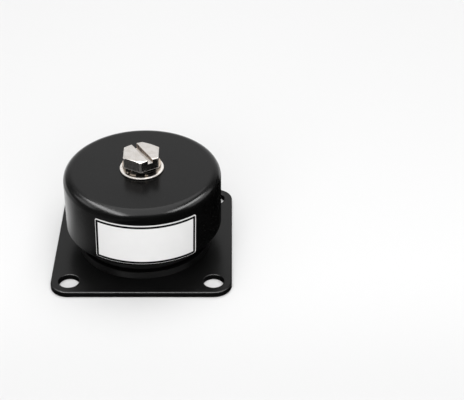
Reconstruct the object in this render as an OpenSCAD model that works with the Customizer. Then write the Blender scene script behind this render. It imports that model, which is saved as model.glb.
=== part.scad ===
// Covered rubber vibration isolator with a square base plate and a bolt on top.
// Sizes are in millimetres. The plate's underside lies on z = 0 and z is the axis.

/* [Base plate] */
// Side of the square base plate
plate_w = 62; // [60:0.5:72]
// Thickness of the base plate
plate_t = 2; // [1.6:0.1:3]
// Corner radius of the base plate
plate_corner_r = 6.2; // [4:0.1:9]
// Rounding left by the press on the plate's upper edge
plate_edge_r = 0.5; // [0.2:0.1:0.8]
// Distance from the plate's edge to a fixing hole's centre
hole_inset = 6.3; // [5:0.1:7]
// Diameter of the four fixing holes
hole_d = 7; // [5:0.1:7.6]
// Diameter of the opening in the middle of the base plate
plate_bore_d = 24; // [16:0.5:26]

/* [Housing] */
// Sheet thickness of the lower housing
housing_t = 1.2; // [1:0.1:1.5]
// Height from the housing's foot to the ledge that carries the support ring
ledge_h = 12.55; // [12:0.05:13.5]
// Width of that ledge
ledge_w = 1.3; // [1:0.1:1.6]
// Width of the housing's rim where it is spun over the support ring
rim_w = 2.4; // [1.8:0.1:2.8]
// Outer bend radius of that rim
rim_bend_r = 1.4; // [1.3:0.1:2]
// Outer bend radius of the housing's foot
foot_bend_r = 1.8; // [1.6:0.1:2.2]
// Thickness of the spacer ring under the housing
spacer_t = 2.65; // [2.3:0.05:3.2]
// How far the spacer ring stands out past the housing's wall
spacer_proud = 0.5; // [0.2:0.1:1]
// Diameter of the rivets' shanks
rivet_d = 3.2; // [2.4:0.1:3.4]
// Diameter of the rivets' closed heads inside the housing
rivet_head_d = 4; // [3.6:0.1:4.2]
// Height of those heads
rivet_head_h = 1.3; // [0.9:0.1:1.6]
// Diameter of the rivets' countersunk heads under the plate
rivet_sunk_d = 5.4; // [4.8:0.1:6]

/* [Rubber and core] */
// Sheet thickness of the support ring
ring_t = 1.5; // [1.2:0.1:1.8]
// How far the support ring is dished below its flange
ring_dish = 2.9; // [2:0.1:3.4]
// Width of the support ring's flange on the housing's ledge
ring_seat_w = 3.05; // [2.6:0.05:3.4]
// Width of the flat lip at the support ring's inner edge
ring_lip_w = 2; // [1.6:0.1:2.4]
// Width of the cone between that lip and the ring's flange
ring_cone_w = 4.9; // [4.4:0.1:5.2]
// Width of the bump rib moulded round the top of the rubber
rib_w = 4.2; // [3.4:0.1:5]
// Depth of the groove between the bump rib and the core
groove_depth = 4.2; // [3:0.1:4.6]
// Height of the hollow in the underside of the rubber
hollow_h = 2; // [1.4:0.1:2.4]
// Outer diameter of the core
core_d = 13; // [12:0.1:14]
// Diameter of the flange at the core's top
core_flange_d = 19; // [16:0.5:22]
// Thickness of that flange
core_flange_t = 2.2; // [1.6:0.1:3]
// Thickness of the rebound plate
rebound_t = 1.5; // [1.2:0.1:1.8]
// How far the rebound plate reaches out under the support ring's lip
rebound_catch = 1.8; // [1.4:0.1:2.2]
// Thickness of the rubber buffer on the rebound plate
buffer_t = 2; // [1.6:0.1:2.4]
// How far the rebound plate stands out past its buffer
buffer_inset = 0.5; // [0.2:0.1:1]
// Diameter of the core's spigot in the rebound plate
spigot_d = 9; // [8:0.1:10]
// Height of the riveted-over end of that spigot
peen_h = 1.4; // [1:0.1:1.6]
// How far the riveted-over end grips out past the spigot
peen_w = 1.6; // [1.4:0.1:2]

/* [Cover] */
// Outer diameter of the cover
cover_d = 54.5; // [50:0.1:60]
// Height of the cover from its rim to its top
cover_h = 21.35; // [20.5:0.05:24]
// Sheet thickness of the cover
cover_t = 1.2; // [1:0.1:1.5]
// Outer radius of the cover's shoulder
shoulder_r = 3.5; // [3:0.1:5]
// Gap between the cover's rim and the top of the base plate at rest
rim_gap = 8.5; // [8:0.1:10]
// Radial gap between the cover and the widest part of the housing
side_gap = 1.7; // [1.4:0.1:2.2]
// Width of the label, measured round the cover
label_w = 36; // [24:0.5:44]
// Thickness of the label
label_t = 0.15; // [0.1:0.05:0.3]
// Bare margin below the label on the cover's straight wall
label_low_margin = 0.8; // [0.7:0.05:2]
// Bare margin above the label on that wall
label_high_margin = 1.35; // [0.7:0.05:2]
// Direction of the label's middle, counted from the front
label_turn = 5.6; // [-20:0.2:20]
// Tilt of the label as it was stuck on, clockwise seen from the front
label_tilt = 1.5; // [-2:0.1:2]
// Corner radius of the label
label_corner_r = 0.8; // [0.4:0.1:1.5]

/* [Bolt and washers] */
// Thread diameter of the bolt
bolt_d = 8; // [7:0.1:8.4]
// Length of the bolt under its head
bolt_len = 16; // [12:0.5:17]
// Width across the flats of the bolt's head
head_af = 12; // [11:0.1:14]
// Height of the bolt's head
head_h = 4.3; // [3.4:0.1:5.5]
// Diameter of the flat top inside the head's chamfer
head_top_d = 11.3; // [10.4:0.1:11.8]
// Angle by which that chamfer falls away from the flat top
head_chamfer = 15; // [12:1:30]
// Width of the screwdriver slot
slot_w = 1.8; // [1.2:0.1:2.4]
// Depth of the screwdriver slot in the middle of the head
slot_depth = 1.75; // [0.8:0.05:2.6]
// How far the slot was milled off the middle of the head
slot_shift = 0.35; // [0:0.05:0.5]
// Slope of the slot's floor, which runs deeper towards the back
slot_lean = 3.5; // [0:0.5:5]
// Direction in which the head came to rest when the bolt was tightened
head_turn = 0.8; // [-30:0.1:30]
// Outer diameter of the flat washer
flat_washer_d = 15.4; // [14:0.1:18]
// Thickness of the flat washer
flat_washer_t = 0.8; // [0.6:0.1:1.6]
// Outer diameter of the split lock washer
lock_washer_d = 13.4; // [11:0.1:14.4]
// Thickness of the split lock washer
lock_washer_t = 1.5; // [0.9:0.1:2]
// Width of the cut through the lock washer
lock_cut_w = 0.7; // [0.4:0.1:1.2]
// Direction of that cut, counted from the x axis
lock_cut_turn = 235; // [0:5:360]

/* [Travel and fits] */
// Travel of the suspended parts down to the bump rib
travel_down = 4.5; // [3.5:0.1:4.8]
// Travel of the suspended parts up to the rebound buffer
travel_up = 2.5; // [1.5:0.1:2.8]
// Gap left at a stop at the end of the travel
stop_clear = 0.3; // [0.2:0.05:0.5]
// Radial clearance of pieces that are pressed or riveted together
seat_fit = 0.05; // [0.03:0.01:0.1]
// Radial clearance of the bolt in the core's thread
thread_fit = 0.05; // [0.03:0.01:0.1]
// Radial clearance of the washers and the cover round the bolt
bolt_clear = 0.3; // [0.2:0.05:0.5]
// Clear space round the rebound plate inside the housing's foot
well_clear = 1.2; // [0.8:0.1:1.6]
// Thread left free below the end of the bolt
thread_spare = 1.2; // [0.6:0.1:2]

/* [Hidden] */
fine = 128;
eps = 0.01;

// Heights of the fixed parts
foot_z = plate_t + spacer_t;
ledge_z = foot_z + ledge_h;
flange_top_z = ledge_z + ring_t;
lip_z = ledge_z - ring_dish;

// Heights of the suspended parts
rim_z = plate_t + rim_gap;
cover_top_z = rim_z + cover_h;
core_top_z = cover_top_z - cover_t;
buffer_top_z = lip_z - travel_up - stop_clear;
rebound_top_z = buffer_top_z - buffer_t;
rebound_z = rebound_top_z - rebound_t;
lock_z = cover_top_z + flat_washer_t;
head_z = lock_z + lock_washer_t;

// Radii that follow from the pieces that fit together
cover_r = cover_d / 2;
housing_top_r = cover_r - cover_t - side_gap;
housing_r = housing_top_r - ledge_w;
core_r = core_d / 2;
ring_out_r = housing_top_r - housing_t - seat_fit;
ring_in_r = ring_out_r - ring_seat_w - ring_cone_w - ring_lip_w;
ring_slope = atan(ring_dish / ring_cone_w);
ring_bevel = ring_t * tan(ring_slope / 2);
rib_out_r = ring_in_r + ring_lip_w + ring_cone_w - ring_bevel;
rebound_r = ring_in_r + rebound_catch;
well_r = rebound_r + well_clear;
rivet_circle_r = (well_r + housing_r - housing_t) / 2;
rivet_sunk_h = (rivet_sunk_d - rivet_d) / 2;
hole_pitch = plate_w - 2 * hole_inset;

// Points of an arc about [x, y], from angle a0 to a1
function arc(x, y, r, a0, a1, n = 10) =
    [for (i = [0:n]) let (a = a0 + (a1 - a0) * i / n) [x + r * cos(a), y + r * sin(a)]];

// Points of a half ellipse at height z, from x0 to x1, that rises by h
function bow(x0, x1, z, h, n = 14) =
    [for (i = [0:n]) let (a = 180 * i / n)
        [(x0 + x1) / 2 - (x1 - x0) / 2 * cos(a), z + h * sin(a)]];

module ring(r_in, r_out, h) {
    difference() {
        cylinder(r = r_out, h = h, $fn = fine);
        translate([0, 0, -1]) cylinder(r = r_in, h = h + 2, $fn = fine);
    }
}

module at_rivets() {
    for (i = [0:3]) rotate(90 * i) translate([rivet_circle_r, 0, 0]) children();
}

module at_fixing_holes() {
    for (x = [-1, 1], y = [-1, 1]) translate([x, y] * hole_pitch / 2) children();
}

module rounded_rectangle(w, h, r) {
    square([w, h - 2 * r], center = true);
    square([w - 2 * r, h], center = true);
    for (x = [-1, 1], y = [-1, 1])
        translate([x * (w / 2 - r), y * (h / 2 - r)]) circle(r, $fn = 48);
}

// A quarter-round bar that fills the plate's upper edge along one side
module edge_bar(len, r) {
    rotate([90, 0, 0]) linear_extrude(len, center = true) intersection() {
        circle(r, $fn = 48);
        square(r);
    }
}

// Pressed plate: the upper edge is rounded, the lower edge is sharp
module base_plate() {
    side = plate_w / 2;
    straight = plate_w - 2 * plate_corner_r;
    color([0.11, 0.11, 0.11]) difference() {
        union() {
            linear_extrude(plate_t - plate_edge_r)
                rounded_rectangle(plate_w, plate_w, plate_corner_r);
            linear_extrude(plate_t)
                rounded_rectangle(plate_w - 2 * plate_edge_r, plate_w - 2 * plate_edge_r,
                                  plate_corner_r - plate_edge_r);
            for (i = [0:3]) rotate(90 * i) {
                translate([side - plate_edge_r, 0, plate_t - plate_edge_r])
                    edge_bar(straight, plate_edge_r);
                translate([side - plate_corner_r, side - plate_corner_r, plate_t - plate_edge_r])
                    rotate_extrude(angle = 90, $fn = fine)
                        translate([plate_corner_r - plate_edge_r, 0]) intersection() {
                            circle(plate_edge_r, $fn = 48);
                            square(plate_edge_r);
                        }
            }
        }
        translate([0, 0, -1]) cylinder(d = plate_bore_d, h = plate_t + 2, $fn = fine);
        at_fixing_holes() translate([0, 0, -1]) cylinder(d = hole_d, h = plate_t + 2, $fn = 64);
        at_rivets() rivet_space();
    }
}

// Shank hole and countersink for one rivet, seen from under the plate
module rivet_space() {
    translate([0, 0, -1]) cylinder(d = rivet_d + 2 * seat_fit, h = ledge_z, $fn = 48);
    translate([0, 0, -eps])
        cylinder(r1 = rivet_sunk_d / 2 + seat_fit + eps, r2 = rivet_d / 2 + seat_fit,
                 h = rivet_sunk_h + eps, $fn = 48);
}

module spacer_ring() {
    color([0.1, 0.1, 0.1]) difference() {
        translate([0, 0, plate_t]) ring(well_r, housing_r + spacer_proud, spacer_t);
        at_rivets() rivet_space();
    }
}

// Drawn cup with a riveted foot, a ledge near its top and a rim spun over the support ring
module lower_housing() {
    t = housing_t;
    foot_in_r = foot_bend_r - t;
    step_r = ledge_w / 2;
    rim_in_r = housing_top_r - t - rim_w;
    section = concat(
        [[well_r, foot_z]],
        arc(housing_r - foot_bend_r, foot_z + foot_bend_r, foot_bend_r, -90, 0),
        arc(housing_r + step_r, ledge_z - t - step_r, step_r, 180, 90, 6),
        arc(housing_r + step_r, ledge_z - t + step_r, step_r, -90, 0, 6),
        arc(housing_top_r - rim_bend_r, flange_top_z + t - rim_bend_r, rim_bend_r, 0, 90),
        [[rim_in_r, flange_top_z + t], [rim_in_r, flange_top_z],
         [housing_top_r - t, flange_top_z], [housing_top_r - t, ledge_z],
         [housing_r - t, ledge_z]],
        arc(housing_r - t - foot_in_r, foot_z + t + foot_in_r, foot_in_r, 0, -90, 6),
        [[well_r, foot_z + t]]);
    color([0.09, 0.09, 0.09]) difference() {
        rotate_extrude($fn = fine) polygon(section);
        at_rivets() rivet_space();
    }
}

// Countersunk rivet from below, closed to a domed head on the housing's foot
module rivet(i) {
    closed_z = foot_z + housing_t;
    dome_r = (pow(rivet_head_d / 2, 2) + pow(rivet_head_h, 2)) / (2 * rivet_head_h);
    color([0.16, 0.16, 0.16]) rotate(90 * i) translate([rivet_circle_r, 0, 0]) {
        cylinder(r1 = rivet_sunk_d / 2, r2 = rivet_d / 2, h = rivet_sunk_h, $fn = 48);
        cylinder(d = rivet_d, h = closed_z + eps, $fn = 48);
        translate([0, 0, closed_z]) intersection() {
            cylinder(d = rivet_head_d, h = rivet_head_h, $fn = 48);
            translate([0, 0, rivet_head_h - dome_r]) sphere(dome_r, $fn = 64);
        }
    }
}

// Upper face of the support ring's dished part, which the rubber is bonded to
ring_upper = [[ring_in_r, lip_z + ring_t], [ring_in_r + ring_lip_w - ring_bevel, lip_z + ring_t],
              [rib_out_r, flange_top_z]];

// Dished steel ring held on the housing's ledge
module support_ring() {
    section = concat(
        [[ring_out_r, flange_top_z], [ring_out_r, ledge_z],
         [rib_out_r + ring_bevel, ledge_z], [ring_in_r + ring_lip_w, lip_z], [ring_in_r, lip_z]],
        ring_upper);
    color([0.3, 0.3, 0.3]) rotate_extrude($fn = fine) polygon(section);
}

// Rubber moulded between the core and the support ring, with a bump rib on top
module rubber_element() {
    rib_z = core_top_z - travel_down - stop_clear - rib_w / 2;
    section = concat(
        bow(core_r, ring_in_r, lip_z, hollow_h),
        ring_upper,
        arc(rib_out_r - rib_w / 2, rib_z, rib_w / 2, 0, 180, 12),
        bow(rib_out_r - rib_w, core_r, rib_z, -groove_depth));
    color([0.07, 0.07, 0.07]) rotate_extrude($fn = fine) polygon(section);
}

// Turned core: top flange, tapped body and a spigot riveted over the rebound plate
module core() {
    bore_end_z = head_z - bolt_len - thread_spare;
    peen_r = spigot_d / 2 + peen_w;
    section = concat(
        [[0, rebound_z - peen_h]],
        arc(peen_r - peen_h, rebound_z, peen_h, -90, 0, 8),
        [[spigot_d / 2, rebound_z], [spigot_d / 2, rebound_top_z], [core_r, rebound_top_z],
         [core_r, core_top_z - core_flange_t], [core_flange_d / 2, core_top_z - core_flange_t],
         [core_flange_d / 2, core_top_z], [0, core_top_z]]);
    color([0.55, 0.55, 0.56]) difference() {
        rotate_extrude($fn = fine) polygon(section);
        translate([0, 0, bore_end_z]) cylinder(d = bolt_d, h = core_top_z, $fn = fine);
        translate([0, 0, bore_end_z - bolt_d / 4])
            cylinder(d1 = eps, d2 = bolt_d, h = bolt_d / 4, $fn = fine);
    }
}

module rebound_plate() {
    color([0.5, 0.5, 0.5]) translate([0, 0, rebound_z])
        ring(spigot_d / 2 + seat_fit, rebound_r, rebound_t);
}

module rebound_buffer() {
    color([0.08, 0.08, 0.08]) translate([0, 0, rebound_top_z])
        ring(core_r + seat_fit, rebound_r - buffer_inset, buffer_t);
}

// Drawn bell, held on the core's flange by the bolt
module top_cover() {
    in_r = shoulder_r - cover_t;
    section = concat(
        [[cover_r - cover_t, rim_z], [cover_r, rim_z]],
        arc(cover_r - shoulder_r, cover_top_z - shoulder_r, shoulder_r, 0, 90, 16),
        [[0, cover_top_z], [0, cover_top_z - cover_t]],
        arc(cover_r - shoulder_r, cover_top_z - shoulder_r, in_r, 90, 0, 16));
    color([0.12, 0.12, 0.12]) difference() {
        rotate_extrude($fn = 180) polygon(section);
        translate([0, 0, core_top_z - 1])
            cylinder(r = bolt_d / 2 + bolt_clear, h = cover_t + 2, $fn = fine);
    }
}

// Blank label stuck on the cover's straight wall, a little askew
module label() {
    wall_h = cover_h - shoulder_r;
    label_h = wall_h - label_low_margin - label_high_margin;
    half_turn = label_w / cover_r * 90 / PI;
    flat_w = 2 * cover_r * sin(half_turn);
    color([0.93, 0.93, 0.92]) rotate(label_turn) intersection() {
        translate([0, 0, rim_z]) ring(cover_r, cover_r + label_t, wall_h);
        translate([0, 0, rim_z + label_low_margin + label_h / 2]) rotate([90, label_tilt, 0])
            linear_extrude(cover_d) rounded_rectangle(flat_w, label_h, label_corner_r);
    }
}

module flat_washer() {
    color([0.86, 0.83, 0.79]) translate([0, 0, cover_top_z])
        ring(bolt_d / 2 + bolt_clear, flat_washer_d / 2, flat_washer_t);
}

// Spring washer flattened by the bolt, so that only its slanted cut shows
module lock_washer() {
    cut_lean = 30;
    color([0.8, 0.77, 0.73]) difference() {
        translate([0, 0, lock_z]) ring(bolt_d / 2 + bolt_clear / 2, lock_washer_d / 2, lock_washer_t);
        rotate(lock_cut_turn) translate([lock_washer_d / 2, 0, lock_z + lock_washer_t / 2])
            rotate([cut_lean, 0, 0])
                cube([lock_washer_d, lock_cut_w, 4 * lock_washer_t], center = true);
    }
}

// Hexagon head with a chamfered top and a slot across one pair of flats
module hex_bolt() {
    corner_d = head_af / cos(30);
    shank_r = bolt_d / 2 - thread_fit;
    point_h = 1;
    slot_turn = -60;
    color([0.86, 0.83, 0.79]) {
        rotate(head_turn) difference() {
            translate([0, 0, head_z]) intersection() {
                rotate(30) cylinder(d = corner_d, h = head_h, $fn = 6);
                cylinder(d1 = head_top_d + 2 * head_h / tan(head_chamfer), d2 = head_top_d,
                         h = head_h, $fn = fine);
            }
            rotate(slot_turn) translate([0, slot_shift, head_z + head_h]) rotate([0, -slot_lean, 0])
                cube([corner_d + 2, slot_w, 2 * slot_depth], center = true);
        }
        translate([0, 0, head_z - bolt_len + point_h])
            cylinder(r = shank_r, h = bolt_len - point_h + eps, $fn = fine);
        translate([0, 0, head_z - bolt_len])
            cylinder(r1 = shank_r - point_h, r2 = shank_r, h = point_h, $fn = fine);
    }
}

base_plate();
spacer_ring();
lower_housing();
rivet(0);  // rivet_1
rivet(1);  // rivet_2
rivet(2);  // rivet_3
rivet(3);  // rivet_4
support_ring();
rubber_element();
core();
rebound_plate();
rebound_buffer();
top_cover();
label();
flat_washer();
lock_washer();
hex_bolt();
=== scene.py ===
import math

import bmesh
import bpy
from mathutils import Matrix, Vector, geometry


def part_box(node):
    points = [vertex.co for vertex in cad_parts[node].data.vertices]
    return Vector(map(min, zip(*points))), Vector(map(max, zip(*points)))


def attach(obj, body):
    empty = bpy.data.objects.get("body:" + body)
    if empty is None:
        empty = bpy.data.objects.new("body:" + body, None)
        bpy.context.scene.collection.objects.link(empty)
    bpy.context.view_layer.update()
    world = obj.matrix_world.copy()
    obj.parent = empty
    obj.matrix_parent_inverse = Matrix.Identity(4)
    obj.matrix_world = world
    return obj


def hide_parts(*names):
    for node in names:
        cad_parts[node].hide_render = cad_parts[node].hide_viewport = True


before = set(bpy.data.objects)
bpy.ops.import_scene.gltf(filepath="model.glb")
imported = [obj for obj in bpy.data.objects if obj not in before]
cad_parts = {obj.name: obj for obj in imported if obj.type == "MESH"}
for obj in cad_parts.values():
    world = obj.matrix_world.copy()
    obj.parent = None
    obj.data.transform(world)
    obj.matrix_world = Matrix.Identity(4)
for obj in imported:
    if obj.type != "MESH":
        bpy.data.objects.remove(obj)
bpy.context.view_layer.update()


# Base plate: 2 mm steel sheet, blanked and pierced in one stroke of the press, then
# stoved in black. The punch rolls the upper edge over all round, and the paint
# draws thin over the hole edges. All sizes in this file are in millimetres.
def box_corners(node):
    """The low and the high corner of a solid's box, in millimetres."""
    return [[1000 * v for v in corner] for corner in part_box(node)]


plate_half, _, plate_t = box_corners("base_plate")[1]
plate_corner_r = 6.2
plate_edge_r = 0.5
fixing_hole_r = 3.5
fixing_hole_at = 24.7
well_r = 12.0
rivet_circle_r = 19.0
rivet_r = 1.65
rivet_sunk = 1.1


class Tone:
    """A number, colour or vector on its way through a finish; maths on it adds nodes."""

    def __init__(self, tree, socket=None):
        self.tree, self.socket = tree, socket

    def node(self, kind, settings=None, inputs=None, output=0):
        made = self.tree.nodes.new("ShaderNode" + kind)
        for name, value in (settings or {}).items():
            setattr(made, name, value)
        for name, value in (inputs or {}).items():
            if isinstance(value, Tone):
                self.tree.links.new(value.socket, made.inputs[name])
            else:
                made.inputs[name].default_value = value
        return Tone(self.tree, made.outputs[output] if len(made.outputs) else None)

    def maths(self, operation, other=0.0):
        return self.node("Math", {"operation": operation}, {0: self, 1: other})

    def __add__(self, other):
        return self.maths("ADD", other)

    def __sub__(self, other):
        return self.maths("SUBTRACT", other)

    def __rsub__(self, other):
        return self.node("Math", {"operation": "SUBTRACT"}, {0: other, 1: self})

    def __mul__(self, other):
        return self.maths("MULTIPLY", other)

    __radd__ = __add__
    __rmul__ = __mul__

    def spot(self):
        """x, y and z of this place, in millimetres."""
        return [self.node("SeparateXYZ", inputs={"Vector": self}, output=way) * 1000 for way in "XYZ"]

    def rise(self, low, high):
        """0 below low, 1 above high, with a soft step between them."""
        return self.node("MapRange", {"interpolation_type": "SMOOTHSTEP"},
                         {"Value": self, "From Min": low, "From Max": high})

    def between(self, colour_0, colour_1):
        """The mix of two colours that this number gives."""
        return self.node("Mix", {"data_type": "RGBA"}, {0: self, 6: colour_0, 7: colour_1}, output=2)

    def grain(self, size, detail=2.0, stretch=None):
        """Noise with spots of about that size in millimetres, on this vector."""
        drawn = self if stretch is None else self.node("VectorMath", {"operation": "MULTIPLY"},
                                                       {0: self, 1: stretch})
        return drawn.node("TexNoise", inputs={"Vector": drawn, "Scale": 1000 / size, "Detail": detail})

    def relief(self, depth):
        """Bumps of that depth in millimetres where this number is high."""
        return self.node("Bump", inputs={"Height": self, "Distance": depth / 1000, "Strength": 1.0},
                         output="Normal")


def grey(level, warmth=0.0):
    return (level * (1 + warmth), level, level * (1 - warmth), 1.0)


def finish(name, surface_of):
    """A finish: surface_of(place) gives the sockets of its one shader."""
    made = bpy.data.materials.new(name)
    made.use_nodes = True
    made.node_tree.nodes.clear()
    place = Tone(made.node_tree).node("TexCoord", output="Object")
    place.node("OutputMaterial", inputs={"Surface": place.node("BsdfPrincipled",
                                                               inputs=surface_of(place))})
    return made


def stoved_paint(name, level, gloss_low, gloss_high, peel):
    """Black stoving paint: soft orange peel, a slight haze, and dust set into it."""
    def surface(place):
        haze = place.grain(9.0, 3.0)
        dust = place.grain(0.55, 1.0).rise(0.70, 0.80)
        wavy = place.grain(1.6, 1.0) * 0.8 + place.grain(0.35, 1.0) * 0.2
        return {"Base Color": haze.between(grey(level * 0.8), grey(level * 1.25)),
                "Roughness": haze * (gloss_high - gloss_low) + gloss_low + dust * 0.12,
                "Specular IOR Level": 0.25,
                "Normal": (wavy + dust * 0.3).relief(peel)}
    return finish(name, surface)


def make_piece(name, points, faces, normals, coat, slot, body, *nodes):
    """A piece from points in millimetres that rides on a body and stands for those nodes."""
    mesh = bpy.data.meshes.new(name)
    mesh.from_pydata([[v / 1000 for v in p] for p in points], [], faces)
    mesh.polygons.foreach_set("use_smooth", [True] * len(mesh.polygons))
    if normals:
        mesh.normals_split_custom_set_from_vertices(normals)
    mesh.materials.append(coat)
    piece = bpy.data.objects.new(name, mesh)
    bpy.context.collection.objects.link(piece)
    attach(piece, body)
    if nodes:
        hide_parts(*nodes)
    return piece


def rounded_square(half, corner_r, steps=20):
    """Points of a square outline with the way out of the sheet at each."""
    outline = []
    for quarter in range(4):
        turn = math.pi / 2 * quarter
        for i in range(steps + 1):
            a = turn + math.pi / 2 * i / steps
            cx = (half - corner_r) * (1 if quarter in (0, 3) else -1)
            cy = (half - corner_r) * (1 if quarter in (0, 1) else -1)
            way = (math.cos(a), math.sin(a))
            outline.append(((cx + corner_r * way[0], cy + corner_r * way[1]), way))
    return outline


def round_hole(x, y, r, steps=64):
    """Points of a hole's outline, clockwise, with the way out of the sheet at each."""
    turns = [-2 * math.pi * i / steps for i in range(steps)]
    return [((x + r * math.cos(a), y + r * math.sin(a)), (-math.cos(a), -math.sin(a))) for a in turns]


def sheet_edge(low_r, high_r, t, steps=5):
    """The edge of a sheet from below upwards: (inset, height, normal out, normal up)."""
    bends = [math.pi / 2 * i / steps for i in range(steps + 1)]
    below = [(low_r * (1 - math.sin(a)), low_r * (1 - math.cos(a)), math.sin(a), -math.cos(a))
             for a in bends]
    above = [(high_r * (1 - math.cos(a)), t - high_r * (1 - math.sin(a)), math.cos(a), math.sin(a))
             for a in bends]
    return below + above


def base_plate_mesh():
    points, faces, normals, lower, upper = [], [], [], [], []
    sunk_edge = [(rivet_sunk + 0.05, 0, 0, -1), (rivet_sunk - 0.03, 0.03, 0.707, -0.707),
                 (0.05, rivet_sunk - 0.05, 0.707, -0.707), (0, rivet_sunk + 0.05, 1, 0),
                 (0, plate_t - 0.05, 1, 0), (0.05, plate_t, 0, 1)]
    rims = [(rounded_square(plate_half, plate_corner_r), sheet_edge(0.08, plate_edge_r, plate_t)),
            (round_hole(0, 0, well_r, 128), sheet_edge(0.1, 0.25, plate_t))]
    rims += [(round_hole(x * fixing_hole_at, y * fixing_hole_at, fixing_hole_r),
              sheet_edge(0.12, 0.3, plate_t)) for x in (-1, 1) for y in (-1, 1)]
    rims += [(round_hole(rivet_circle_r * x, rivet_circle_r * y, rivet_r, 48), sunk_edge)
             for x, y in ((1, 0), (0, 1), (-1, 0), (0, -1))]
    for outline, edge in rims:
        first, rows, around = len(points), len(edge), len(outline)
        for (x, y), way in outline:
            for inset, z, out, up in edge:
                points.append((x - way[0] * inset, y - way[1] * inset, z))
                normals.append((way[0] * out, way[1] * out, up))
        for k in range(around):
            a, b = first + k * rows, first + (k + 1) % around * rows
            faces += [(a + i, b + i, b + i + 1, a + i + 1) for i in range(rows - 1)]
        lower.append([first + k * rows for k in range(around)])
        upper.append([first + k * rows + rows - 1 for k in range(around)])
    for loops, up in ((lower, -1), (upper, 1)):
        flat = [i for loop in loops for i in loop]
        for tri in geometry.tessellate_polygon([[Vector(points[i]) for i in loop] for loop in loops]):
            a, b, c = [Vector(points[flat[i]]) for i in tri]
            way = 1 if (b - a).cross(c - a).z * up > 0 else -1
            faces.append(tuple(flat[i] for i in tri)[::way])
    return points, faces, normals


plate_paint = stoved_paint("plate_paint", 0.0025, 0.26, 0.32, 0.003)
make_piece("base_plate_dressed", *base_plate_mesh(), plate_paint, "black_paint", "base", "base_plate")


# Spacer ring: turned from tube and clamped between plate and housing by the rivets.
# It lifts the housing's foot clear of the plate and is stoved together with it.
spacer_in_r = 16.15
spacer_out_r, _, spacer_top = box_corners("spacer_ring")[1]


def section(corners, step=15):
    """Rounds the corners (r, z, radius) of a closed outline: points with their normals."""
    turns = list(zip(corners[-1:] + corners[:-1], corners, corners[1:] + corners[:1]))
    side = sum(a[0] * b[1] - b[0] * a[1] for _, a, b in turns)
    points = []
    for before, here, after in turns:
        p = Vector(here[:2])
        u = (Vector(before[:2]) - p).normalized()
        w = (Vector(after[:2]) - p).normalized()
        half = u.angle(w) / 2
        centre = p + (u + w).normalized() * here[2] / math.sin(half)
        start = p + u * here[2] / math.tan(half) - centre
        end = p + w * here[2] / math.tan(half) - centre
        a0 = math.atan2(start.y, start.x)
        sweep = (math.atan2(end.y, end.x) - a0 + math.pi) % (2 * math.pi) - math.pi
        out = 1 if sweep * side > 0 else -1
        count = max(2, math.ceil(abs(math.degrees(sweep)) / step))
        for i in range(count + 1):
            way = Vector((math.cos(a0 + sweep * i / count), math.sin(a0 + sweep * i / count)))
            points.append((*(centre + way * here[2]), *(way * out)))
    return points if side > 0 else points[::-1]


def turned(points, steps=192, closed=True):
    """Revolves a section about the axis; an open one begins and ends on the axis."""
    rows = len(points)
    index, verts, normals, faces = {}, [], [], []
    for k in range(steps):
        a = 2 * math.pi * k / steps
        for i, (r, z, out, up) in enumerate(points):
            if r < 1e-6 and k:
                index[k, i] = index[0, i]
                continue
            index[k, i] = len(verts)
            verts.append((r * math.cos(a), r * math.sin(a), z))
            normals.append((out * math.cos(a), out * math.sin(a), up))
    for k in range(steps):
        for i in range(rows if closed else rows - 1):
            after = (k + 1) % steps
            corners = [index[k, i], index[after, i], index[after, (i + 1) % rows], index[k, (i + 1) % rows]]
            faces.append([c for n, c in enumerate(corners) if c not in corners[:n]])
    return verts, faces, normals


make_piece("spacer_ring_dressed", *turned(section([
    (spacer_in_r, plate_t, 0.15), (spacer_out_r, plate_t, 0.15), (spacer_out_r, spacer_top, 0.25),
    (spacer_in_r, spacer_top, 0.15)])), plate_paint, "black_paint", "base", "spacer_ring")


# Lower housing: a cup deep-drawn from 1.2 mm sheet, with a ledge near its top and a
# rim spun inwards over the support ring. Its paint is satin, and hides under the cover.
housing_t = 1.2
ledge_z, flange_top_z = 17.2, 18.7
housing_r, housing_top_r = 23.05, 24.35
rim_w = 2.4
housing_paint = stoved_paint("housing_paint", 0.0025, 0.36, 0.46, 0.006)
make_piece("lower_housing_dressed", *turned(section([
    (spacer_in_r, spacer_top, 0.1), (housing_r, spacer_top, 1.8), (housing_r, ledge_z - housing_t, 0.65),
    (housing_top_r, ledge_z - housing_t, 0.6), (housing_top_r, flange_top_z + housing_t, 1.4),
    (housing_top_r - housing_t - rim_w, flange_top_z + housing_t, 0.3),
    (housing_top_r - housing_t - rim_w, flange_top_z, 0.1),
    (housing_top_r - housing_t, flange_top_z, 0.1), (housing_top_r - housing_t, ledge_z, 0.1),
    (housing_r - housing_t, ledge_z, 0.3), (housing_r - housing_t, spacer_top + housing_t, 0.6),
    (spacer_in_r, spacer_top + housing_t, 0.1)])), housing_paint, "housing_paint", "base", "lower_housing")


# Rivets: four steel rivets set from below, countersunk flush with the plate's
# underside and closed to a dome on the housing's foot, then painted over.
rivet_paint = stoved_paint("rivet_paint", 0.004, 0.3, 0.45, 0.02)
for number in range(1, 5):
    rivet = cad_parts[f"rivet_{number}"]
    rivet.data.materials.clear()
    rivet.data.materials.append(rivet_paint)


# Support ring and rebound plate: pressed steel, phosphated grey-black so that rubber
# bonds to them. The dished ring is trapped between the housing's ledge and its spun
# rim; the plate is held by the core's riveted end.
def phosphated(name, level):
    """Zinc phosphate on steel: a fine dark crystal crust with paler worn patches."""
    def surface(place):
        crystal = place.grain(0.12, 4.0)
        worn = place.grain(4.0, 4.0).rise(0.45, 0.75)
        return {"Base Color": worn.between(grey(level), grey(level * 1.7)),
                "Metallic": worn * 0.25 + 0.35,
                "Roughness": 0.62 - worn * 0.12,
                "Normal": crystal.relief(0.02)}
    return finish(name, surface)


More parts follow.
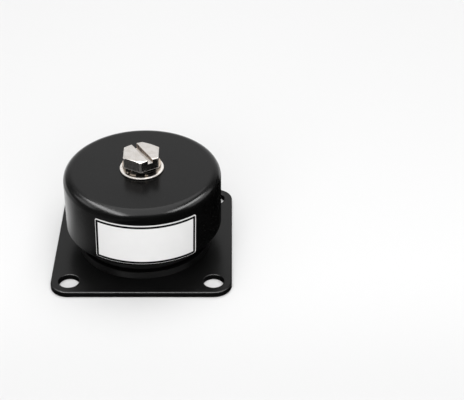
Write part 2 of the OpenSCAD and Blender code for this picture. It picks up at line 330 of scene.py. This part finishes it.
phosphate = phosphated("phosphate", 0.09)
ring_t, ring_slope = 1.5, math.radians(30.6)
ring_in_r, lip_r, dish_r, ring_out_r = 13.15, 15.15, 20.05, 23.1
lip_z = ledge_z - 2.9
shift_up = ring_t * math.tan(ring_slope / 2)
make_piece("support_ring_dressed", *turned(section([
    (ring_in_r, lip_z, 0.2), (lip_r, lip_z, 1.2), (dish_r, ledge_z, 0.6), (ring_out_r, ledge_z, 0.15),
    (ring_out_r, flange_top_z, 0.15), (dish_r - shift_up, flange_top_z, 1.2),
    (lip_r - shift_up, lip_z + ring_t, 0.6), (ring_in_r, lip_z + ring_t, 0.2)])),
    phosphate, "phosphated_steel", "base", "support_ring")
rebound_in_r = 4.55
rebound_low, rebound_high = box_corners("rebound_plate")
make_piece("rebound_plate_dressed", *turned(section([
    (rebound_in_r, rebound_low[2], 0.15), (rebound_high[0], rebound_low[2], 0.15),
    (rebound_high[0], rebound_high[2], 0.4), (rebound_in_r, rebound_high[2], 0.15)])),
    phosphate, "phosphated_steel", "suspended", "rebound_plate")


# Rubber element and rebound buffer: natural rubber, moulded and bonded in one shot,
# matt black with a bloom of wax and the fine grain of the mould.
def moulded_rubber(place):
    bloom = place.grain(5.0, 4.0).rise(0.35, 0.8)
    return {"Base Color": bloom.between(grey(0.012), grey(0.03, 0.03)),
            "Roughness": bloom * 0.15 + 0.6,
            "Specular IOR Level": 0.35,
            "Normal": place.grain(0.25, 3.0).relief(0.02)}


rubber = finish("rubber", moulded_rubber)
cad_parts["rubber_element"].data.materials.clear()
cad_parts["rubber_element"].data.materials.append(rubber)
buffer_in_r = 6.55
buffer_low, buffer_high = box_corners("rebound_buffer")
make_piece("rebound_buffer_dressed", *turned(section([
    (buffer_in_r, buffer_low[2], 0.1), (buffer_high[0], buffer_low[2], 0.1),
    (buffer_high[0], buffer_high[2], 0.6), (buffer_in_r, buffer_high[2], 0.3)])),
    rubber, "rubber", "suspended", "rebound_buffer")


# Core: free-cutting steel turned in a bar lathe, tapped for the bolt; its lower end
# is riveted over the rebound plate. The tool leaves fine rings round the axis.
tool_feed = 0.2513


def turned_steel(place):
    x, y, _ = place.spot()
    reach = (x * x + y * y).maths("SQRT")
    rings = (reach * (2 * math.pi / tool_feed)).maths("SINE") * 0.5 + 0.5
    dull = place.grain(3.0, 4.0).rise(0.4, 0.7)
    return {"Base Color": dull.between(grey(0.42), grey(0.3, 0.02)),
            "Metallic": 1.0, "Roughness": dull * 0.15 + 0.3,
            "Normal": (rings * 0.6 + place.grain(0.2) * 0.4).relief(0.004)}


core_low, core_high = box_corners("core")
core_r, spigot_r, peen_r = 6.5, 4.5, 6.1
bore_r, bore_end_z = 4.0, 16.95
flange_t = 2.2
flange_low_z = core_high[2] - flange_t
core_outline = section([
    (0, core_low[2], 0), (peen_r, core_low[2], 1.35), (peen_r, rebound_low[2], 0.03),
    (spigot_r, rebound_low[2], 0.03), (spigot_r, rebound_high[2], 0.03), (core_r, rebound_high[2], 0.2),
    (core_r, flange_low_z, 0.6), (core_high[0], flange_low_z, 0.3), (core_high[0], core_high[2], 0.3),
    (bore_r, core_high[2], 0.4), (bore_r, bore_end_z, 0.3), (0, bore_end_z - bore_r / 2, 0)])
core_outline = [(0, core_low[2], 0, -1), *[p for p in core_outline if p[0] > 1e-6],
                (0, bore_end_z - bore_r / 2, 0, 1)]
make_piece("core_dressed", *turned(core_outline, 128, closed=False), finish("core_steel", turned_steel),
           "turned_steel", "suspended", "core")


# Top cover: bell deep-drawn from 1.2 mm sheet, its rim floating over the plate, with
# a large smooth shoulder. It has the best coat of paint, a deep even gloss.
cover_low, cover_high = box_corners("top_cover")
cover_r, cover_top, rim_z = cover_high[0], cover_high[2], cover_low[2]
cover_t = 1.2
shoulder_r = 3.5
bolt_hole_r = 4.3
cover_paint = stoved_paint("cover_paint", 0.0025, 0.2, 0.26, 0.002)
make_piece("top_cover_dressed", *turned(section([
    (cover_r - cover_t, rim_z, 0.2), (cover_r, rim_z, 0.35), (cover_r, cover_top, shoulder_r),
    (bolt_hole_r, cover_top, 0.25), (bolt_hole_r, cover_top - cover_t, 0.15),
    (cover_r - cover_t, cover_top - cover_t, shoulder_r - cover_t)], 5), 256),
    cover_paint, "cover_paint", "suspended", "top_cover")


# Label: white vinyl film with a printed black frame and nothing written on it,
# stuck on the cover's wall by hand, so that it sits a little askew.
label_w, label_h = 36.0, 15.7
label_t = 0.15
label_corner_r = 0.8
label_turn, label_tilt = math.radians(5.6), math.radians(1.5)
label_mid_z = rim_z + 0.8 + label_h / 2
frame_line_from, frame_line_to = 0.25, 1.12
frame_slip = (-0.08, -0.17)


def label_mesh():
    """A film that follows the wall, with its flat place kept as a coordinate."""
    half_w, half_h, rows = label_w / 2, label_h / 2, 10
    ends = [half_w - label_corner_r * (1 - math.sin(math.pi / 2 * i / 6)) for i in range(7)]
    inner = [-half_w + label_corner_r + (label_w - 2 * label_corner_r) * i / 48 for i in range(1, 48)]
    across = [-s for s in reversed(ends)] + inner + ends
    points, places, normals, faces = [], [], [], []
    for s in across:
        over = max(0.0, abs(s) - (half_w - label_corner_r))
        reach = half_h - label_corner_r + math.sqrt(max(0.0, label_corner_r ** 2 - over ** 2))
        column = [(cover_r, -reach)] + [(cover_r + label_t, reach * (2 * i / rows - 1))
                                        for i in range(rows + 1)] + [(cover_r, reach)]
        for r, t in column:
            a = label_turn + (s * math.cos(label_tilt) + t * math.sin(label_tilt)) / cover_r
            z = label_mid_z + t * math.cos(label_tilt) - s * math.sin(label_tilt)
            points.append((r * math.sin(a), -r * math.cos(a), z))
            normals.append((math.sin(a), -math.cos(a), 0))
            places.append((s, t, 0.0))
    deep = rows + 3
    for k in range(len(across) - 1):
        a, b = k * deep, (k + 1) * deep
        faces += [(a + i, b + i, b + i + 1, a + i + 1) for i in range(deep - 1)]
        faces.append((a + deep - 1, b + deep - 1, b, a))
    last = (len(across) - 1) * deep
    faces += [tuple(range(deep)), tuple(range(last, last + deep))[::-1]]
    return points, faces, normals, places


def label_film(place):
    """White film; the frame is a black line at an even distance from the edge."""
    flat = place.node("Attribute", {"attribute_name": "film_place"}, output="Vector")
    parts = {way: flat.node("SeparateXYZ", inputs={"Vector": flat}, output=way) for way in "XY"}
    off_x, off_y = parts["X"] - frame_slip[0], parts["Y"] - frame_slip[1]
    past_x = off_x.maths("ABSOLUTE") - (label_w / 2 - label_corner_r)
    past_y = off_y.maths("ABSOLUTE") - (label_h / 2 - label_corner_r)
    out_x, out_y = past_x.maths("MAXIMUM", 0.0), past_y.maths("MAXIMUM", 0.0)
    corner = (out_x * out_x + out_y * out_y).maths("SQRT")
    nearest = past_x.maths("MAXIMUM", past_y)
    inset = label_corner_r - corner - nearest.maths("MINIMUM", 0.0)
    ink = inset.rise(frame_line_from - 0.04, frame_line_from + 0.04) \
        - inset.rise(frame_line_to - 0.04, frame_line_to + 0.04)
    tint = place.grain(6.0, 3.0).between(grey(0.80, 0.005), grey(0.86, 0.005))
    return {"Base Color": ink.between(tint, grey(0.002)),
            "Roughness": ink * 0.2 + 0.35 + place.grain(2.0) * 0.08,
            "Specular IOR Level": 0.12,
            "Normal": (place.grain(0.5, 2.0) * 0.7 + ink * 0.3).relief(0.003)}


film_points, film_faces, film_normals, film_places = label_mesh()
film = make_piece("label_dressed", film_points, film_faces, film_normals,
                  finish("label_film", label_film), "label_film", "suspended", "label")
spots = film.data.attributes.new("film_place", "FLOAT_VECTOR", "POINT")
spots.data.foreach_set("vector", [v for spot in film_places for v in spot])


# Flat washer: stamped from thin strip and nickel plated; the punch draws its upper face
# down towards the edge and leaves the lower one sharp. The bolt's head holds it captive.
washer_low, washer_high = box_corners("flat_washer")


def nickel(place, level):
    """Bright nickel plate: warm white metal, finely brushed, with duller clouds."""
    cloud = place.grain(2.4, 4.0).rise(0.35, 0.7)
    brushed = place.grain(0.5, 3.0, stretch=(1.0, 0.16, 1.0))
    pits = place.grain(0.3, 2.0).rise(0.68, 0.78)
    return {"Base Color": cloud.between(grey(level, 0.04), grey(level * 0.88, 0.06)),
            "Metallic": 1.0, "Roughness": cloud * 0.1 + 0.12,
            "Normal": (brushed - pits * 0.5).relief(0.0015)}


bright_nickel = finish("bright_nickel", lambda place: nickel(place, 0.9))
draw_r, draw = 6.2, 0.26
# Within this radius the front of the washer's top carries painted shade round the spring washer.
front_shade_r = 7.0
sheared_r = washer_high[0] - 0.12


def washer_nickel(place):
    """The washer's nickel is a softer white than the head's, and set brighter as a painted highlight. Its
    sheared edge carries painted shade in dark brown, and so does a crescent of its top in front, round the
    spring washer."""
    x, y, z = place.spot()
    reach = (x * x + y * y).maths("SQRT")
    # Painted shade: a dark crescent on the top in front, round the spring washer.
    painted_front_shade = (1 - reach.rise(front_shade_r - 0.15, front_shade_r + 0.1)) * (1 - y.rise(-5.0, -3.0))
    unshaded_top = z.rise(washer_high[2] - draw - 0.2, washer_high[2] - draw - 0.1) * (1 - painted_front_shade)
    # The colour of the painted shade on the sheared edge and the front crescent: dark brown.
    painted_brown_shade = place.grain(1.4, 2.0).rise(0.4, 0.6).between((0.06, 0.05, 0.045, 1.0), (0.3, 0.26, 0.22, 1.0))
    # A brighter nickel level than the head's, as a painted highlight.
    look = nickel(place, 0.95)
    look["Base Color"] = unshaded_top.between(painted_brown_shade, look["Base Color"])
    look["Metallic"] = 1.0 - unshaded_top * 0.5
    look["Roughness"] = look["Roughness"] + 0.15
    return look


make_piece("flat_washer_dressed", *turned(section([
    (bolt_hole_r, washer_low[2], 0.06), (sheared_r, washer_low[2], 0.08),
    (sheared_r, washer_high[2] - draw, 0.2), (draw_r, washer_high[2], 2.0),
    (bolt_hole_r, washer_high[2], 0.2)]), 128),
    finish("washer_nickel", washer_nickel), "zinc_steel", "bolt_washers", "flat_washer")


# Lock washer: square spring wire coiled to one turn and cut on a slant. Tightened
# down it lies flat, apart from the slight rise that is left between its two ends.
lock_low, lock_high = box_corners("lock_washer")
lock_in_r, lock_out_r = 4.15, lock_high[0]
lock_gap, lock_rise = 0.7, 0.15
lock_cut_turn, lock_lean = math.radians(235), math.tan(math.radians(30))
# Where the painted highlights low on the spring washer's front start and end, in millimetres along x.
painted_light_patches = ((-4.9, -1.7), (1.2, 3.0))


def lock_washer_mesh(steps=120):
    mid_r, thick = (lock_in_r + lock_out_r) / 2, lock_high[2] - lock_low[2] - lock_rise
    wire = section([(lock_in_r, 0, 0.12), (lock_out_r, 0, 0.12), (lock_out_r, thick, 0.12),
                    (lock_in_r, thick, 0.12)], 30)
    points, faces, rows = [], [], len(wire)
    for k in range(steps + 1):
        share = k / steps
        for r, z, out, up in wire:
            lean = (z - thick / 2) * lock_lean / mid_r
            a = lock_cut_turn + lock_gap / 2 / mid_r + share * (2 * math.pi - lock_gap / mid_r) + lean
            points.append((r * math.cos(a), r * math.sin(a), lock_low[2] + z + lock_rise * share))
    for k in range(steps):
        a, b = k * rows, (k + 1) * rows
        faces += [(a + i, b + i, b + (i + 1) % rows, a + (i + 1) % rows) for i in range(rows)]
    faces += [tuple(range(rows)), tuple(range(steps * rows, (steps + 1) * rows))[::-1]]
    return points, faces


def soften(piece, angle, bevel=0.0):
    """Rounds the edges sharper than angle, then shades flats flat and bends smooth."""
    if bevel:
        edges = piece.modifiers.new("edges", "BEVEL")
        edges.width, edges.segments, edges.limit_method = bevel / 1000, 2, "ANGLE"
        edges.angle_limit = math.radians(angle)
    shade = piece.modifiers.new("shade", "WEIGHTED_NORMAL")
    shade.keep_sharp = True
    piece.data.set_sharp_from_angle(angle=math.radians(angle))


def spring_nickel(place):
    """Nickel with painted light and shade: dark as painted shade under the head, and light as painted
    highlights to the left and right and low on the front in a few ragged patches, given by where they start
    and end."""
    x, _, z = place.spot()
    ragged = x + place.grain(1.1, 3.0) * 2.0 - 1.0
    light_patch = sum(ragged.rise(start, start + 0.3) - ragged.rise(end - 0.3, end)
                for start, end in painted_light_patches)
    low = light_patch * (1 - z.rise(lock_high[2] - 0.7, lock_high[2] - 0.45))
    # Painted highlights at the left and right and in the front patches; painted shade elsewhere.
    painted_light = low.maths("MAXIMUM", x.maths("ABSOLUTE").rise(4.9, 5.6))
    look = nickel(place, 0.85)
    # Dark for the painted shade, warm light for the painted highlights.
    look["Base Color"] = painted_light.between((0.03, 0.027, 0.024, 1.0), (0.85, 0.74, 0.63, 1.0))
    look["Roughness"] = look["Roughness"] + 0.12
    return look


lock = make_piece("lock_washer_dressed", *lock_washer_mesh(), None,
                  finish("spring_nickel", spring_nickel), "zinc_steel",
                  "bolt_washers", "lock_washer")
soften(lock, 50)


# Bolt: M8 hexagon bolt, cold headed, with a slot milled across one pair of flats and
# a rolled thread. The head's top is chamfered at 15 degrees, and all is nickel plated.
bolt_end, head_low, head_top = box_corners("hex_bolt")[0][2], lock_high[2], box_corners("hex_bolt")[1][2]
flats_half = 6.0
head_flat_r, head_chamfer = 5.65, math.radians(15)
slot_run, slot_w, slot_depth = 30.0, 1.8, 1.75
slot_shift, slot_lean = 0.35, math.radians(3.5)
lower_edge_r, lower_edge_turns = 0.45, (0.35, 0.7, 1.0, 1.3, math.pi / 2)
head_turn = math.radians(0.8)
slot_turn = head_turn - math.radians(60)
shank_r, thread_pitch, thread_depth = 3.95, 1.25, 0.68
neck_top, neck_low = head_low + 0.3, head_low - 2.6
neck_r, point_r = shank_r - thread_depth, shank_r - 1.0


def head_mesh():
    """The head without its slot: hexagon below, cone and flat above."""
    corner = flats_half / math.cos(math.pi / 6)
    turns = [head_turn + math.pi / 3 * i for i in range(6)]
    hexagon = [(corner * math.sin(a), -corner * math.cos(a), 0.3) for a in turns]
    outline = section(hexagon, 20)
    dense = []
    for here, after in zip(outline, outline[1:] + outline[:1]):
        gap = math.dist(here[:2], after[:2])
        count = max(1, round(gap / 0.5))
        dense += [tuple(h + (n - h) * i / count for h, n in zip(here[:2], after[:2]))
                  for i in range(count)]
    points, faces, around = [], [], len(dense)
    chamfer = math.tan(head_chamfer)
    for x, y in dense:
        reach = math.hypot(x, y)
        lowered = max(0.0, reach - head_flat_r) * chamfer
        flat = min(1.0, head_flat_r / reach)
        bottom = [(reach - lower_edge_r * (1 - math.sin(a)), head_low + lower_edge_r * (1 - math.cos(a)))
                  for a in lower_edge_turns]
        points.append((x * 0.6, y * 0.6, bottom[0][1]))
        points += [(x * r / reach, y * r / reach, z) for r, z in bottom]
        points += [(x, y, head_top - lowered), (x * flat, y * flat, head_top),
                   (x * flat * 0.5, y * flat * 0.5, head_top)]
    rows = len(points) // around
    for k in range(around):
        a, b = k * rows, (k + 1) % around * rows
        faces += [(a + i, b + i, b + i + 1, a + i + 1) for i in range(rows - 1)]
    faces += [tuple(k * rows for k in range(around))[::-1],
              tuple(k * rows + rows - 1 for k in range(around))]
    return points, faces


def thread_mesh(steps=48):
    """A right-hand thread in helical rows, with a plain neck above it and a point below."""
    profile = [(0.0, 0.0), (0.125, 0.0), (0.4375, 1.0), (0.6875, 1.0)]
    turns = math.ceil((neck_low - bolt_end) / thread_pitch) + 2
    rows = [(k + share, depth) for k in range(turns) for share, depth in profile]
    points, faces = [], []
    for k in range(steps):
        a = 2 * math.pi * k / steps
        for at, depth in rows:
            z = bolt_end + thread_pitch * (at - 2 + k / steps)
            kept = min(max(z, bolt_end), neck_low)
            r = min(shank_r - thread_depth * depth, point_r + (kept - bolt_end))
            if z >= neck_low:
                r = neck_r
            if z <= bolt_end:
                r = point_r
            points.append((r * math.cos(a), r * math.sin(a), kept))
        points.append((neck_r * math.cos(a), neck_r * math.sin(a), neck_top))
    deep = len(rows) + 1
    for k in range(steps):
        for i in range(deep - 1):
            a, b, top = k * deep + i, (k + 1) * deep + i, (k + 2) * deep - 1
            if k == steps - 1:
                b, top = i + len(profile), deep - 1
            faces.append([a, min(b, top), min(b + 1, top), a + 1])
    return points, faces


def slotted_nickel(place):
    """Nickel. The walls of the slot carry painted shade in brown, with a painted dark line along the top of
    one wall. The spanner has rubbed the head's corners dull, and its lower edge stays matt."""
    x, y, z = place.spot()
    along = x * math.cos(slot_turn) + y * math.sin(slot_turn)
    off = y * math.cos(slot_turn) - x * math.sin(slot_turn) - slot_shift
    inside = 1 - off.maths("ABSOLUTE").rise(slot_w / 2 + 0.02, slot_w / 2 + 0.06)
    floor_z = along * math.tan(slot_lean) + (head_top - slot_depth)
    height = z - floor_z
    milled = inside * height.rise(-0.1, -0.05) * (1 - z.rise(head_top - 0.12, head_top - 0.06))
    # Painted shade: the slot's walls are coloured brown.
    painted_slot_shade = milled * height.rise(0.02, 0.12)
    # Painted shade: a thin dark line along the top of one slot wall.
    painted_edge_shade = (1 - (off + slot_w / 2).maths("ABSOLUTE").rise(0.08, 0.2)) \
        * z.rise(head_top - 0.2, head_top - 0.1)
    shade_mottle = place.grain(1.0, 2.0).rise(0.42, 0.58)
    reach = (x * x + y * y).maths("SQRT")
    rubbed = reach.rise(6.7, 6.82).maths("MAXIMUM", (reach + (z - head_top) * 0.45).rise(6.3, 6.5))
    look = nickel(place, 0.88)
    # The colour of the painted shade in the slot, mottled.
    slot_shade_colour = shade_mottle.between((0.07, 0.05, 0.037, 1.0), (0.42, 0.34, 0.27, 1.0))
    # Where the painted shade goes.
    painted_brown_shade = painted_slot_shade.maths("MAXIMUM", painted_edge_shade * 0.5)
    look["Base Color"] = painted_brown_shade.between(look["Base Color"], slot_shade_colour)
    matt = 1 - z.rise(head_low + 0.3, head_low + 0.45)
    look["Metallic"] = 1.0 - milled * 0.5 - matt * 0.6
    look["Roughness"] = look["Roughness"] + milled * 0.25 + rubbed * 0.3 + matt * 0.3
    return look


bolt = make_piece("hex_bolt_dressed", *head_mesh(), None, finish("slotted_nickel", slotted_nickel),
                  "zinc_steel", "bolt", "hex_bolt")
cutter_mesh = bpy.data.meshes.new("slot")
cut = bmesh.new()
bmesh.ops.create_cube(cut, size=1.0)
for corner in cut.verts:
    at = Vector((corner.co.x * slot_run, corner.co.y * slot_w, corner.co.z * 2 * slot_depth))
    at = Matrix.Rotation(-slot_lean, 3, "Y") @ at + Vector((0, slot_shift, head_top))
    corner.co = Matrix.Rotation(slot_turn, 3, "Z") @ at / 1000
cut.to_mesh(cutter_mesh)
cutter = bpy.data.objects.new("slot", cutter_mesh)
bpy.context.collection.objects.link(cutter)
mill = bolt.modifiers.new("slot", "BOOLEAN")
mill.object, mill.solver = cutter, "EXACT"
soften(bolt, 25, bevel=0.09)
bpy.context.view_layer.update()
milled = bpy.data.meshes.new_from_object(bolt.evaluated_get(bpy.context.evaluated_depsgraph_get()))
bolt.modifiers.clear()
bolt.data = milled
bpy.data.objects.remove(cutter)
shank = make_piece("bolt_thread", *thread_mesh(), None, bright_nickel, "zinc_steel", "bolt")
joined = bmesh.new()
joined.from_mesh(shank.data)
bmesh.ops.remove_doubles(joined, verts=joined.verts, dist=1e-6)
bmesh.ops.dissolve_degenerate(joined, edges=joined.edges, dist=1e-7)
bmesh.ops.holes_fill(joined, edges=joined.edges)
bmesh.ops.recalc_face_normals(joined, faces=joined.faces)
joined.to_mesh(shank.data)
soften(shank, 35)


# The studio: a sheet of pale paper, a large soft box overhead with a fill in front,
# narrow boxes that only the painted sheet mirrors, and a camera placed as the
# photograph was taken, looking down at about 35 degrees.
camera_at = (31.03, -370.33, 276.36)
camera_down = 34.85
camera_lens = 99.98
lens = bpy.data.cameras.new("camera")
lens.lens, lens.sensor_width, lens.sensor_fit = camera_lens, 36.0, "HORIZONTAL"
lens.clip_start, lens.clip_end = 0.01, 50.0
camera = bpy.data.objects.new("camera", lens)
camera.location = [v / 1000 for v in camera_at]
camera.rotation_euler = (math.radians(90 - camera_down), 0, 0)
bpy.context.collection.objects.link(camera)
bpy.context.scene.camera = camera


floor_half, floor_drop = 3000, 0.2


def paper(place):
    """White paper, painted greyer in front to offset the nearer lamps' light. Glossy rays see painted shade
    on it: dark in front and pale on the left."""
    x, y, _ = place.spot()
    mirrored = place.node("LightPath", output="Is Glossy Ray")
    near = (1 - x.rise(-36, -29)) * (x.rise(-62, -42) * 0.45 + 0.55)
    side = y.rise(-28, -8) * 0.2 + y.rise(-6, 14) * 0.56 + 0.24
    shade = near * side + y.rise(40, 80) * 0.8
    # Painted shade: the paper is greyer in front, to offset the nearer lamps.
    pale = y.rise(-85, -10) * 0.07 + y.rise(50, 350) * 0.03 + 0.71
    level = mirrored * (shade - pale) + pale
    return {"Base Color": level.between(grey(0.0), grey(1.0)), "Roughness": 0.9,
            "Specular IOR Level": 0.1}


floor_mesh = bpy.data.meshes.new("floor")
floor_mesh.from_pydata([(x * floor_half / 1000, y * floor_half / 1000, -floor_drop / 1000)
                        for x, y in ((-1, -1), (1, -1), (1, 1), (-1, 1))], [], [(0, 1, 2, 3)])
floor_mesh.materials.append(finish("paper", paper))
floor = bpy.data.objects.new("floor", floor_mesh)
bpy.context.collection.objects.link(floor)
card_cloth = finish("card_cloth", lambda place: {
    "Base Color": place.grain(3.0).between(grey(0.0024), grey(0.0036)), "Roughness": 0.9,
    "Specular IOR Level": 0.0})


def dark_card(name, middle_x, r, low, high, start, end, shades=False, steps=24):
    """An upright card, bent from one direction to another, that shows as a dark place
    in glossy surfaces. One that shades also stands in the light of the narrow boxes."""
    turns = [math.radians(start + (end - start) * i / steps) for i in range(steps + 1)]
    rim = [((middle_x + r * math.cos(a)) / 1000, r * math.sin(a) / 1000) for a in turns]
    mesh = bpy.data.meshes.new(name)
    mesh.from_pydata([(x, y, z / 1000) for x, y in rim for z in (low, high)], [],
                     [(2 * i, 2 * i + 2, 2 * i + 3, 2 * i + 1) for i in range(steps)])
    mesh.materials.append(card_cloth)
    card = bpy.data.objects.new(name, mesh)
    bpy.context.collection.objects.link(card)
    card.visible_camera = card.visible_diffuse = False
    card.visible_shadow = shades
    return card


dark_card("right_card", 63, 27.2, 10.5, 33, 100, 260)
flag = dark_card("right_flag", 0, 31, 40, 54, 310, 343, shades=True)
lamp_reach = 900


def soft_box(name, start, end, spread, radiance, diffuse=False, glossy=True):
    """A long soft box seen between two directions, each given as degrees to the right
    and to the back of the zenith. Its spread is in degrees, its radiance 1 for white."""
    ways = []
    for right, back in (start, end):
        tilt = math.hypot(right, back)
        a = math.sin(math.radians(tilt)) / tilt
        ways.append(Vector((right * a, back * a, math.cos(math.radians(tilt)))))
    away = (ways[0] + ways[1]).normalized()
    along = (ways[1] - ways[0]).normalized()
    light = bpy.data.lights.new(name, "AREA")
    light.shape = "RECTANGLE"
    light.size = 2 * lamp_reach / 1000 * math.tan(ways[0].angle(ways[1]) / 2)
    light.size_y = 2 * lamp_reach / 1000 * math.tan(math.radians(spread) / 2)
    light.energy = radiance * math.pi * light.size * light.size_y
    lamp = bpy.data.objects.new(name, light)
    lamp.matrix_world = Matrix((along, away.cross(along), away)).transposed().to_4x4()
    lamp.location = away * lamp_reach / 1000
    lamp.visible_diffuse, lamp.visible_glossy = diffuse, glossy
    bpy.context.collection.objects.link(lamp)
    return lamp


overhead = soft_box("overhead", (3, -43), (3, 40), 50, 2.1, diffuse=True)
front_fill = soft_box("front_fill", (0, -72), (0.1, -46), 70, 2.6, diffuse=True, glossy=False)
strips = [soft_box("left_strip", (-23, -49), (-30, 22), 13, 17.0),
          soft_box("left_box", (-46, -13), (-46, 12), 22, 1.6),
          soft_box("left_edge", (-60, -22), (-60, 18), 10, 3.6),
          soft_box("right_strip", (36, -37), (49, 16), 13, 16.0),
          soft_box("right_box", (63, -24), (63, 28), 18, 2.6)]
edge_box = soft_box("edge_box", (-40, -38), (40, -38), 40, 11.0)
past_flag = bpy.data.collections.new("past_flag")
past_flag.objects.link(flag)
past_flag.collection_objects[0].light_linking.link_state = "EXCLUDE"
for lamp in (overhead, front_fill, edge_box):
    lamp.light_linking.blocker_collection = past_flag
painted_sheet = bpy.data.collections.new("painted_sheet")
plate_only = bpy.data.collections.new("plate_only")
painted_sheet.objects.link(bpy.data.objects["top_cover_dressed"])
for lit in (painted_sheet, plate_only):
    lit.objects.link(bpy.data.objects["base_plate_dressed"])
for strip in strips:
    strip.light_linking.receiver_collection = painted_sheet
edge_box.light_linking.receiver_collection = plate_only

room = bpy.data.worlds.new("room")
room.use_nodes = True
room.node_tree.nodes.clear()
look = Tone(room.node_tree).node("TexCoord", output="Generated")
right, ahead, up = [look.node("SeparateXYZ", inputs={"Vector": look}, output=way) for way in "XYZ"]
camera_ray = look.node("LightPath", output="Is Camera Ray")
glow = ahead.rise(0.55, 0.95) * 0.78 + up.rise(0.4, 0.8) * 0.5 + (0 - right).rise(0.3, 0.9) * 0.15
seen = glow * (1 - camera_ray) + camera_ray * 0.97
look.node("OutputWorld", inputs={"Surface": look.node("Background", inputs={
    "Color": grey(1.0), "Strength": seen})})
bpy.context.scene.world = room
bpy.context.scene.view_settings.view_transform = "Standard"
